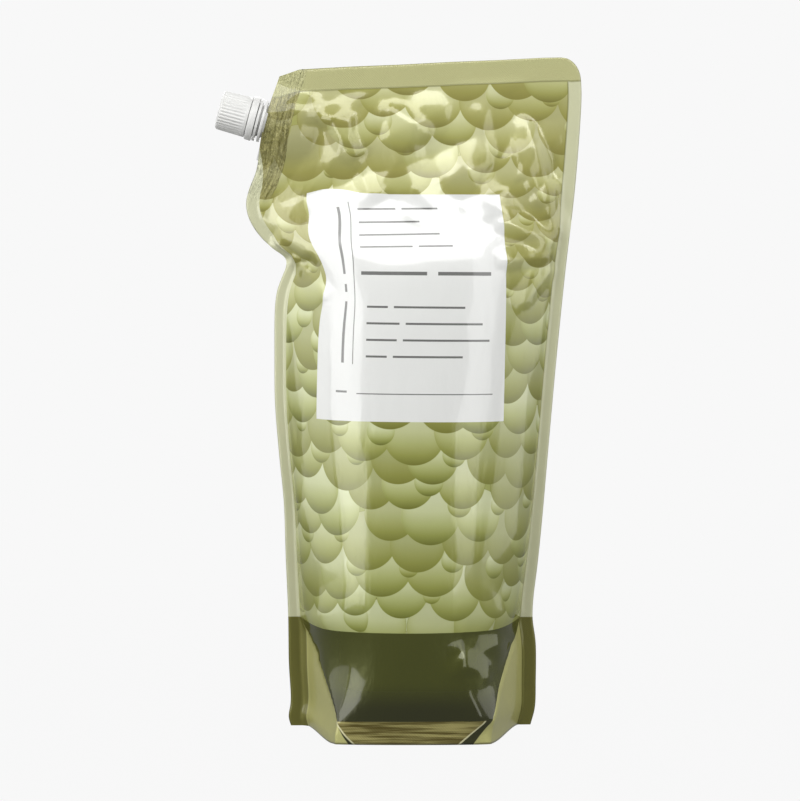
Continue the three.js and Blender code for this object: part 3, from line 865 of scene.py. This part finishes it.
def film_print_group(work):
    """All of the film's print on its flat pattern: bubbles, plain seams, the dark foot and the label, with
    painted highlights on the spout seal, the bottom strip and its hem, and painted shade low on the dark
    foot.
    """
    group, w, given, end = new_group(
        "film_print", {"Flat Place": "Vector"},
        {"Color": "Color", "Metallic": "Float", "Seam": "Float", "Crumpled": "Float", "Place": "Vector"},
    )
    u, v = w.split(given["Flat Place"])
    u = w.mul(u, 1000.0)
    z = w.mul(v, 1000.0)
    on_back = w.math("GREATER_THAN", u, 100.0)
    on_bottom = w.math("GREATER_THAN", u, 300.0)
    x = w.sub(u, w.mul(w.add(on_back, on_bottom), BACK_PRINT))
    place = w.vector(x, z, 0.0)
    front = w.sub(1.0, on_back)

    run = np.subtract(FLAT_TOP_RIGHT, FLAT_TOP_LEFT) / math.dist(FLAT_TOP_RIGHT, FLAT_TOP_LEFT)
    from_top = w.sub(
        w.mul(w.sub(x, FLAT_TOP_LEFT[0]), float(run[1])), w.mul(w.sub(z, FLAT_TOP_LEFT[1]), float(run[0]))
    )
    slant = np.subtract(FLAT_TOP_LEFT, (FLAT_LEFT, FLAT_KINK))
    slant = slant / np.linalg.norm(slant)
    from_spout = w.sub(
        w.mul(w.sub(x, FLAT_LEFT), float(slant[1])), w.mul(w.sub(z, FLAT_KINK), float(slant[0]))
    )
    from_left = w.sub(x, FLAT_LEFT)
    from_right = w.sub(FLAT_RIGHT, x)
    high = w.above(z, FLAT_KINK - 4, 8.0)
    dark = w.sub(1.0, w.above(z, FOLD_TOP, 0.3))
    side = w.math("MINIMUM", from_left, from_right)
    side_seam = w.sub(1.0, w.above(side, w.add(SIDE_SEAL, w.mul(dark, 1.5)), 0.3))
    spout_seam = w.mul(w.sub(1.0, w.above(from_spout, SPOUT_SEAL, 0.4)), high)
    top_seam = w.sub(1.0, w.above(from_top, TOP_SEAL, 0.3))
    slope = (FLAT_RIGHT - SIDE_SEAL - FOLD_FOOT) / (FOLD_TOP - SKIRT)
    inner = w.sub(w.math("ABSOLUTE", x), w.add(w.mul(w.sub(z, SKIRT), slope), FOLD_FOOT))
    leg = w.mul(w.above(inner, 0.0, 0.4), w.mul(dark, w.above(z, -1.0)))
    strip = w.sub(1.0, w.above(z, SKIRT, 0.5))

    pattern = w.call(bubble_pattern_group(one_bubble_group()), Place=place)
    bubbles = w.ramp(pattern.outputs["Shade"], [
        (0.0, rgb(0x5A5D1A)), (1.0, rgb(0xDCE2C2)), (0.05, rgb(0x727730)), (0.16, rgb(0x91974C)),
        (0.34, rgb(0xB3B97A)), (0.56, rgb(0xCED4A4)),
    ])
    warm = w.mix(w.mul(pattern.outputs["Tone"], 0.35), bubbles, rgb(0xA79F4C))
    warm = w.mix(w.mul(w.above(pattern.outputs["Tone"], 0.6, 0.5), 0.4), warm, rgb(0x72762C))
    bare = w.mix(w.above(z, 62.0, 8.0), rgb(0xC9D0A2), rgb(0x9FA55C))
    body = w.mix(pattern.outputs["Cover"], bare, warm)
    depth = w.math("DIVIDE", w.sub(z, FOLD_TOP), 100.0, clamp=True)
    body = w.mix(w.mul(w.sub(1.0, depth), 0.22), body, rgb(0x8F9A3C))
    body = w.mix(w.mul(w.above(z, 200.0, 60.0), 0.18), body, rgb(0xC9B573))

    # Painted highlights: light streaks along the spout seal stand in for the light that its wrinkles catch,
    # over the seal's own dark golden colour.
    seal_streaks_and_sheen = w.noise(w.vector(w.mul(from_spout, 0.9), w.mul(z, 0.07)), 1.0, 4.0, 0.65)
    golden_seal_and_sheen = w.mix(w.above(seal_streaks_and_sheen, 0.5, 0.3), rgb(0x625C18), rgb(0xAAA467))
    color = w.mix(w.mul(spout_seam, 0.8), body, golden_seal_and_sheen)
    color = w.mix(top_seam, color, rgb(0xB9B883))
    color = w.mix(w.mul(side_seam, w.sub(1.0, top_seam)), color, rgb(0xCDCEA9))
    brim = w.math("MAXIMUM", w.within(from_top, TOP_SEAL - 0.5, TOP_SEAL + 0.3), w.mul(
        w.within(from_right, SIDE_SEAL - 0.3, SIDE_SEAL + 0.4), w.above(from_top, TOP_SEAL)
    ))
    color = w.mix(w.mul(brim, 0.45), color, rgb(0x5F5F28))
    # Painted shade: the dark band is drawn darker towards its bottom edge, where the film curves under.
    band = w.mix(w.above(z, 21.0, 14.0), rgb(0x33350A), rgb(0x4C500F))
    color = w.mix(dark, color, band)
    color = w.mix(w.mul(dark, leg), color, rgb(0xC6C47E))
    color = w.mix(w.mul(dark, side_seam), color, rgb(0x706E26))
    hem = w.sub(w.math("ABSOLUTE", w.add(x, 2.0)), w.add(w.mul(z, 1.2), 20.5))
    # Painted highlights: light bands on the bottom strip stand in for the light that it catches where it
    # faces up, over its own olive gold.
    strip_sheen_noise = w.noise(w.vector(w.mul(x, 0.03), w.mul(z, 0.8), 7.0), 1.0, 3.0, 0.6)
    gold_strip_and_sheen = w.mix(w.above(strip_sheen_noise, 0.52, 0.25), rgb(0x5E5312), rgb(0xB3AA68))
    color = w.mix(w.mul(strip, w.sub(1.0, w.above(hem, 0.0, 0.4))), color, gold_strip_and_sheen)
    # A painted highlight: a pale line along the slanted hem, where the strip's fold catches the light.
    color = w.mix(w.mul(strip, w.within(hem, -0.8, 0.3, 0.3)), color, rgb(0xE2DEB0))
    color = w.mix(on_bottom, color, rgb(0x35380C))
    label = w.call(
        label_group(), Place=place, Left=work.label_left / MM, Right=work.label_right / MM,
        Foot=work.label_foot / MM, Head=work.label_head / MM,
    )
    field = w.mul(label.outputs["Field"], front)
    ink = w.mul(label.outputs["Ink"], front)
    color = w.mix(field, color, rgb(0xE2E3E0))
    color = w.mix(w.mul(ink, 0.85), color, rgb(0x3A3A36))
    seam = w.math("MAXIMUM", w.math("MAXIMUM", side_seam, top_seam), w.math("MAXIMUM", spout_seam, leg))
    seam = w.math("MAXIMUM", seam, w.mul(strip, w.sub(1.0, on_bottom)))
    w.put(end["Color"], color)
    w.put(end["Seam"], seam)
    w.put(end["Metallic"], w.mul(w.sub(1.0, field), w.add(0.08, w.mul(dark, 0.3))))
    w.put(end["Crumpled"], spout_seam)
    w.put(end["Place"], place)
    return group


def film_surface_group():
    """The film's fine relief: a pressed dot grid in the seams, and faint wrinkles everywhere."""
    group, w, given, end = new_group(
        "film_surface", {"Place": "Vector", "Seam": "Float", "Crumpled": "Float"},
        {"Height": "Float", "Roughness": "Float"},
    )
    x, z = w.split(given["Place"])
    dots = w.mul(w.math("SINE", w.mul(x, 2 * math.pi / 1.1)), w.math("SINE", w.mul(z, 2 * math.pi / 1.1)))
    stretched = w.vector(w.mul(x, 0.09), w.mul(z, 0.035), 0.0)
    slow = w.noise(stretched, 1.0, 3.0, 0.5)
    fine = w.noise(w.vector(w.mul(x, 0.5), w.mul(z, 0.22), 4.0), 1.0, 3.0, 0.6)
    tight = w.noise(w.vector(w.mul(x, 0.5), w.mul(z, 0.16), 9.0), 1.0, 3.0, 0.6)
    tight = w.math("ABSOLUTE", w.sub(tight, 0.5))
    height = w.add(w.mul(w.mul(dots, given["Seam"]), 0.035), w.add(w.mul(slow, 0.55), w.mul(fine, 0.05)))
    height = w.add(height, w.mul(w.mul(tight, given["Crumpled"]), 3.0))
    w.put(end["Height"], w.mul(height, MM))
    w.put(end["Roughness"], w.add(0.22, w.mul(given["Seam"], 0.1)))
    return group


def film_material(work):
    """Glossy printed film."""
    mat = bpy.data.materials.new("printed_film")
    mat.use_nodes = True
    w = Wires(mat.node_tree)
    skin = mat.node_tree.nodes["Principled BSDF"]
    uv = w.node("ShaderNodeUVMap", uv_map="flat_film")
    print_node = w.call(film_print_group(work), Flat_Place=uv.outputs["UV"])
    relief = w.call(
        film_surface_group(), Place=print_node.outputs["Place"], Seam=print_node.outputs["Seam"],
        Crumpled=print_node.outputs["Crumpled"],
    )
    bump = w.node("ShaderNodeBump")
    bump.inputs["Strength"].default_value = 1.0
    bump.inputs["Distance"].default_value = 1.0
    w.put(bump.inputs["Height"], relief.outputs["Height"])
    w.put(skin.inputs["Base Color"], print_node.outputs["Color"])
    w.put(skin.inputs["Roughness"], relief.outputs["Roughness"])
    w.put(skin.inputs["Metallic"], print_node.outputs["Metallic"])
    w.put(skin.inputs["Normal"], bump.outputs["Normal"])
    skin.inputs["IOR"].default_value = 1.5
    skin.inputs["Coat Weight"].default_value = 0.9
    skin.inputs["Coat Roughness"].default_value = work.film_gloss
    return mat


def plastic_material(work):
    """White moulded polypropylene."""
    mat = bpy.data.materials.new("white_plastic")
    mat.use_nodes = True
    w = Wires(mat.node_tree)
    skin = mat.node_tree.nodes["Principled BSDF"]
    place = w.node("ShaderNodeTexCoord").outputs["Object"]
    group, g, given, end = new_group(
        "moulded_grain", {"Place": "Vector"}, {"Height": "Float", "Color": "Color"}
    )
    cloud = g.noise(given["Place"], 500.0, 3.0, 0.55)
    broad = g.noise(given["Place"], 60.0, 2.0, 0.5)
    g.put(end["Height"], g.mul(cloud, 0.002 * MM))
    g.put(end["Color"], g.mix(broad, rgb(0xDCDCD9), rgb(0xE4E4E2)))
    grain = w.call(group, Place=place)
    bump = w.node("ShaderNodeBump")
    bump.inputs["Strength"].default_value = 1.0
    bump.inputs["Distance"].default_value = 1.0
    w.put(bump.inputs["Height"], grain.outputs["Height"])
    w.put(skin.inputs["Normal"], bump.outputs["Normal"])
    w.put(skin.inputs["Base Color"], grain.outputs["Color"])
    skin.inputs["Roughness"].default_value = work.plastic_roughness
    skin.inputs["IOR"].default_value = 1.49
    skin.inputs["Subsurface Weight"].default_value = 0.15
    skin.inputs["Subsurface Radius"].default_value = (0.002, 0.002, 0.002)
    return mat


# ---- White mouldings -----------------------------------------------------------------------------
# Profiles are radius and height along the spout's axis, in millimetres, from the film's edge.

# The sealing plug's points run along its outside first, so between radius 3 and 3.75 its faces
# overlap the roof's underside.
CAP_PROFILE = [
    (0, 18.9), (3.75, 18.9), (3.75, 16.0), (3.5, 15.7), (2.9, 15.7), (2.9, 18.7), (3.0, 18.9), (7.2, 18.9),
    (7.35, 18.6), (7.35, 7.5), (7.5, 7.27), (8.7, 7.25), (8.86, 7.4), (8.88, 7.7), (8.88, 8.2), (8.86, 8.4),
    (8.85, 8.7), (8.82, 9.6), (8.76, 11.5), (8.7, 13.5), (8.64, 15.5), (8.58, 17.5), (8.54, 18.7),
    (8.5, 19.2), (8.38, 19.65), (8.15, 20.0), (7.8, 20.25), (7.3, 20.4), (6.8, 20.42), (6.6, 20.3),
    (0, 20.3),
]
BAND_PROFILE = [
    (7.6, 6.95), (7.6, 4.75), (6.7, 4.72), (6.45, 3.95), (9.45, 3.95), (9.66, 4.03), (9.7, 4.25),
    (9.66, 5.2), (9.58, 6.75), (9.42, 6.95), (7.6, 6.95),
]
SPOUT_PROFILE = [
    (4.1, -11), (4.1, 17.9), (4.3, 18.3), (5.6, 18.3), (5.9, 18.2), (6, 17.9), (6, 5.92), (6.8, 5.88),
    (7.25, 5.3), (7.2, 5.1), (6, 5.1), (6, 3.7), (6.1, 3.6), (9.05, 3.6), (9.24, 3.54), (9.3, 3.4),
    (9.3, 2.6), (9.24, 2.46), (9.1, 2.4), (7.1, 2.4), (7, 2.3), (7, 1.6), (7.1, 1.5), (9.1, 1.5),
    (9.24, 1.44), (9.3, 1.3), (9.3, 0.5), (9.24, 0.36), (9.1, 0.3), (7, 0.3), (7, -0.7), (5.2, -0.8),
    (5.2, -11), (4.1, -11),
]
CAP_RIBS = 36
THREAD_PITCH = 3.0
THREAD_SIDES = 48  # in one turn
TURNED_SIDES = 96  # round the spout and the band
RING_SIDES = 64  # round the weld base


def turned(profile, sides):
    """A profile spun round the axis."""
    bm = bmesh.new()
    verts = [bm.verts.new(Vector((radius, 0, height)) * MM) for radius, height in profile]
    edges = [bm.edges.new(pair) for pair in zip(verts, verts[1:])]
    bmesh.ops.spin(
        bm, geom=verts + edges, cent=(0, 0, 0), axis=(0, 0, 1), angle=2 * math.pi, steps=sides,
        use_merge=True,
    )
    bmesh.ops.remove_doubles(bm, verts=bm.verts, dist=1e-6)
    bmesh.ops.recalc_face_normals(bm, faces=bm.faces)
    return bm


def ribbed(bm, depth):
    """Presses the cap's grip ribs into its turned side."""
    for v in bm.verts:
        height = v.co.z / MM
        if math.hypot(v.co.x, v.co.y) > 7.9 * MM and height > 8.3:
            turn = math.atan2(v.co.y, v.co.x) * CAP_RIBS
            fade = float(ease(height, 8.3, 9.2) * (1 - ease(height, 19.2, 20.1)))
            press = depth * fade * (0.5 - 0.5 * math.cos(turn)) ** 1.4
            v.co -= Vector((v.co.x, v.co.y, 0)).normalized() * press
    return bm


def thread_ridge(radius, side, start, turns):
    """A screw thread's ridge: outwards from the neck for side 1, inwards from the cap for side -1."""
    section = [
        (-0.4, -0.8), (0, -0.8), (0.85, -0.5), (1, -0.3), (1, 0.3), (0.85, 0.5), (0, 0.8), (-0.4, 0.8),
    ]
    steps = round(turns * THREAD_SIDES)
    bm = bmesh.new()
    ring = [bm.verts.new(Vector((radius + side * out, 0, start + up)) * MM) for out, up in section]
    end = bm.faces.new(ring)
    bmesh.ops.spin(
        bm, geom=ring + list(end.edges) + [end], cent=(0, 0, 0), axis=(0, 0, 1),
        dvec=Vector((0, 0, THREAD_PITCH / THREAD_SIDES)) * MM, angle=2 * math.pi * turns, steps=steps,
    )
    bmesh.ops.recalc_face_normals(bm, faces=bm.faces)
    return bm


def weld_base():
    """The boat-shaped base that is welded between the films. It is solid here: its bore is not cut."""
    bm = bmesh.new()
    ring = []
    for k in range(RING_SIDES):
        angle = 2 * math.pi * k / RING_SIDES
        across = BOAT_LENGTH / 2 * math.cos(angle)
        thick = BOAT_HALF * math.cos(across / BOAT_REACH * math.pi / 2) ** 1.15 - BOAT_GAP
        ring.append(bm.verts.new(Vector((across, math.copysign(thick, math.sin(angle)), -BOAT_DEPTH)) * MM))
    face = bm.faces.new(ring)
    top = bmesh.ops.extrude_face_region(bm, geom=[face])
    risen = [v for v in top["geom"] if isinstance(v, bmesh.types.BMVert)]
    bmesh.ops.translate(bm, verts=risen, vec=Vector((0, 0, BOAT_DEPTH - 0.8)) * MM)
    bmesh.ops.recalc_face_normals(bm, faces=bm.faces)
    return bm


def moulding(name, parts, material, body, node):
    """Joins turned parts into one white piece on the spout's axis."""
    rise = math.radians(SPOUT_RISE - 90)
    root = Matrix.Translation(Vector((SPOUT_AT[0], 0, SPOUT_AT[1])) * MM)
    place = root @ Matrix.Rotation(rise, 4, "Y")
    joined = bmesh.new()
    for part in parts:
        held = bpy.data.meshes.new("held")
        part.to_mesh(held)
        part.free()
        joined.from_mesh(held)
        bpy.data.meshes.remove(held)
    bmesh.ops.transform(joined, matrix=place, verts=joined.verts)
    mesh = bpy.data.meshes.new(name)
    joined.to_mesh(mesh)
    joined.free()
    mesh.shade_smooth()
    mesh.set_sharp_from_angle(angle=math.radians(38))
    mesh.materials.append(material)
    obj = bpy.data.objects.new(name, mesh)
    bpy.context.scene.collection.objects.link(obj)
    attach(obj, body)
    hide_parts(node)
    return obj


# ---- Stage ---------------------------------------------------------------------------------------


LIGHT_AIM = (0, 0, 0.15)
CAMERA_AIM = (-0.0048, 0, 0.1468)
CAMERA_RISE = 3  # degrees above level
CAMERA_AWAY = 1.9
VIEW_WIDTH = 0.3498  # how much the picture shows across, at the pack


def area_light(name, place, width, height, energy):
    """A soft rectangular light that faces the pack and isn't seen itself."""
    light = bpy.data.lights.new(name, "AREA")
    light.shape = "RECTANGLE"
    light.size = width
    light.size_y = height
    light.energy = energy
    obj = bpy.data.objects.new(name, light)
    obj.location = place
    obj.rotation_mode = "QUATERNION"
    obj.rotation_quaternion = (Vector(LIGHT_AIM) - Vector(place)).to_track_quat("-Z", "Y")
    obj.visible_camera = False
    bpy.context.scene.collection.objects.link(obj)
    return obj


def build_stage(work):
    """A pale seamless floor and surround, soft lights round the pack, and the camera."""
    scene = bpy.context.scene
    bm = bmesh.new()
    bmesh.ops.create_grid(bm, x_segments=1, y_segments=1, size=0.7)
    mesh = bpy.data.meshes.new("floor")
    bm.to_mesh(mesh)
    bm.free()
    floor = bpy.data.objects.new("floor", mesh)
    floor.data.transform(Matrix.Translation((0, 0, -0.0004)))
    scene.collection.objects.link(floor)
    mat = bpy.data.materials.new("pale_floor")
    mat.use_nodes = True
    skin = mat.node_tree.nodes["Principled BSDF"]
    skin.inputs["Base Color"].default_value = (0.008, 0.008, 0.008, 1)
    skin.inputs["Roughness"].default_value = 0.9
    skin.inputs["Specular IOR Level"].default_value = 0
    skin.inputs["Emission Color"].default_value = rgb(0xF8F8F8)
    w = Wires(mat.node_tree)
    seen = w.node("ShaderNodeLightPath").outputs["Is Camera Ray"]
    w.put(skin.inputs["Emission Strength"], w.blend(seen, work.surround, work.floor_glow))
    mesh.materials.append(mat)
    world = bpy.data.worlds.new("surround")
    world.use_nodes = True
    w = Wires(world.node_tree)
    back = world.node_tree.nodes["Background"]
    back.inputs["Color"].default_value = rgb(0xF8F8F8)
    seen = w.node("ShaderNodeLightPath").outputs["Is Camera Ray"]
    w.put(back.inputs["Strength"], w.blend(seen, work.surround, 1.0))
    scene.world = world
    scene.view_settings.view_transform = "Standard"
    area_light("left_strip", (-0.73, -0.68, 0.35), 0.46, 1.2, work.strip_energy)
    area_light("right_strip", (0.63, -0.78, 0.35), 0.32, 1.2, work.strip_energy * 0.42)
    area_light("left_fill", (-0.98, -0.12, 0.40), 0.8, 1.2, work.fill_energy)
    area_light("right_fill", (0.98, -0.12, 0.40), 0.8, 1.2, work.fill_energy)
    area_light("top_box", (0, -0.75, 0.98), 1.3, 0.5, work.top_energy)
    area_light("back_box", (0, 0.95, 0.55), 1.2, 0.9, work.back_energy)
    data = bpy.data.cameras.new("camera")
    data.sensor_width = 36
    data.lens = data.sensor_width * CAMERA_AWAY / VIEW_WIDTH
    camera = bpy.data.objects.new("camera", data)
    rise = math.radians(CAMERA_RISE)
    away = Vector((0, -math.cos(rise), math.sin(rise)))
    camera.location = Vector(CAMERA_AIM) + away * CAMERA_AWAY
    camera.rotation_mode = "QUATERNION"
    camera.rotation_quaternion = (-away).to_track_quat("-Z", "Y")
    scene.collection.objects.link(camera)
    scene.camera = camera


# ---- Settings, operators and panel ---------------------------------------------------------------


class PouchFilmSettings(bpy.types.PropertyGroup):
    """The bag's sizes, stiffness and print."""

    soap_pressure: bpy.props.FloatProperty(
        name="Soap pressure", description="How hard the soap pushes the film out, in pascals",
        default=300, min=0,
    )
    fill_frames: bpy.props.IntProperty(
        name="Filling steps", description="Frames that the filling is simulated for",
        default=24, min=1, max=200,
    )
    film_stretch: bpy.props.FloatProperty(
        name="Stretch stiffness", description="How much the film resists being stretched", default=40, min=1
    )
    film_bend: bpy.props.FloatProperty(
        name="Bend stiffness", description="How much the film resists being bent", default=0.001, min=0
    )
    crumple: bpy.props.FloatProperty(
        name="Crumple", description="How strongly the slack upper film is folded into facets",
        default=1.35, min=0,
        max=3,
    )
    ripple: bpy.props.FloatProperty(
        name="Ripple", description="Height of the film's slight waves, in millimetres",
        default=0.25, min=0, max=2,
    )
    film_gloss: bpy.props.FloatProperty(
        name="Coat roughness", description="Roughness of the film's glossy outer layer",
        default=0.05, min=0, max=1,
    )
    label_left: bpy.props.FloatProperty(
        name="Label left", description="The label's left side on the flat film",
        default=-0.0453, subtype="DISTANCE",
        unit="LENGTH",
    )
    label_right: bpy.props.FloatProperty(
        name="Label right", description="The label's right side on the flat film", default=0.0395,
        subtype="DISTANCE", unit="LENGTH",
    )
    label_foot: bpy.props.FloatProperty(
        name="Label foot", description="The label's lower side on the flat film", default=0.1372,
        subtype="DISTANCE", unit="LENGTH",
    )
    label_head: bpy.props.FloatProperty(
        name="Label head", description="The label's upper side on the flat film", default=0.2407,
        subtype="DISTANCE", unit="LENGTH",
    )


class MouldingSettings(bpy.types.PropertyGroup):
    """The white mouldings' ribs and finish."""

    rib_depth: bpy.props.FloatProperty(
        name="Rib depth", description="Depth of the grooves between the cap's ribs", default=0.00035,
        subtype="DISTANCE", unit="LENGTH",
    )
    plastic_roughness: bpy.props.FloatProperty(
        name="Roughness", description="Roughness of the white plastic", default=0.38, min=0, max=1
    )


class StageSettings(bpy.types.PropertyGroup):
    """The floor, the surround and the lights."""

    strip_energy: bpy.props.FloatProperty(
        name="Strip lights", description="Power of the tall light on the left",
        default=4.7, min=0, unit="POWER",
    )
    fill_energy: bpy.props.FloatProperty(
        name="Side lights", description="Power of each broad side light", default=3.3, min=0, unit="POWER"
    )
    top_energy: bpy.props.FloatProperty(
        name="Top light", description="Power of the light above the front", default=7, min=0, unit="POWER"
    )
    back_energy: bpy.props.FloatProperty(
        name="Back light", description="Power of the soft light behind the pack",
        default=9, min=0, unit="POWER",
    )
    floor_glow: bpy.props.FloatProperty(
        name="Floor glow", description="How brightly the floor shines by itself",
        default=0.987, min=0, max=2,
    )
    surround: bpy.props.FloatProperty(
        name="Surround", description="How brightly the surround lights the pack", default=0.27, min=0, max=2
    )


class POUCH_OT_film(bpy.types.Operator):
    """Build the film bag: three sheets, filled by a cloth simulation, creased and printed"""

    bl_idname = "pouch.film"
    bl_label = "Build film bag"

    def execute(self, context):
        work = context.scene.pouch_film
        mesh = make_film(work)
        film = bpy.data.objects.new("pouch_film", mesh)
        context.scene.collection.objects.link(film)
        mesh.materials.append(film_material(work))
        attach(film, "pack")
        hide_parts("pouch")
        return {"FINISHED"}


class POUCH_OT_mouldings(bpy.types.Operator):
    """Build the white mouldings: the spout, the tamper band and the ribbed screw cap"""

    bl_idname = "pouch.mouldings"
    bl_label = "Build spout, band and cap"

    def execute(self, context):
        work = context.scene.pouch_mouldings
        white = plastic_material(work)
        spout = [turned(SPOUT_PROFILE, TURNED_SIDES), thread_ridge(6.0, 1, 8.6, 2.2), weld_base()]
        moulding("pouring_spout", spout, white, "pack", "spout")
        moulding("tamper_ring", [turned(BAND_PROFILE, TURNED_SIDES)], white, "band", "tamper_band")
        shell = ribbed(turned(CAP_PROFILE, CAP_RIBS * 6), work.rib_depth)
        moulding("ribbed_cap", [shell, thread_ridge(7.35, -1, 10.1, 1.6)], white, "cap", "screw_cap")
        return {"FINISHED"}


class POUCH_OT_stage(bpy.types.Operator):
    """Set up the floor, the surround, the lights and the camera"""

    bl_idname = "pouch.stage"
    bl_label = "Set up stage"

    def execute(self, context):
        build_stage(context.scene.pouch_stage)
        return {"FINISHED"}


class POUCH_PT_panel(bpy.types.Panel):
    """Settings and build steps in the 3D view's sidebar"""

    bl_label = "Soap refill pouch"
    bl_idname = "POUCH_PT_panel"
    bl_space_type = "VIEW_3D"
    bl_region_type = "UI"
    bl_category = "Pouch"

    def draw(self, context):
        for title, settings, button in STEPS:
            box = self.layout.box()
            box.label(text=title)
            group = getattr(context.scene, settings)
            for name in type(group).__annotations__:
                box.prop(group, name)
            box.operator(button)


STEPS = [
    ("Film bag", "pouch_film", "pouch.film"),
    ("Spout, band and cap", "pouch_mouldings", "pouch.mouldings"),
    ("Stage", "pouch_stage", "pouch.stage"),
]
CLASSES = (
    PouchFilmSettings,
    MouldingSettings,
    StageSettings,
    POUCH_OT_film,
    POUCH_OT_mouldings,
    POUCH_OT_stage,
    POUCH_PT_panel,
)


def register():
    for each in CLASSES:
        bpy.utils.register_class(each)
    bpy.types.Scene.pouch_film = bpy.props.PointerProperty(type=PouchFilmSettings)
    bpy.types.Scene.pouch_mouldings = bpy.props.PointerProperty(type=MouldingSettings)
    bpy.types.Scene.pouch_stage = bpy.props.PointerProperty(type=StageSettings)


def unregister():
    del bpy.types.Scene.pouch_stage
    del bpy.types.Scene.pouch_mouldings
    del bpy.types.Scene.pouch_film
    for each in reversed(CLASSES):
        bpy.utils.unregister_class(each)


def main():
    """Builds the pack and its studio."""
    register()
    bpy.ops.pouch.film()
    bpy.ops.pouch.mouldings()
    bpy.ops.pouch.stage()


if __name__ == "__main__":
    main()
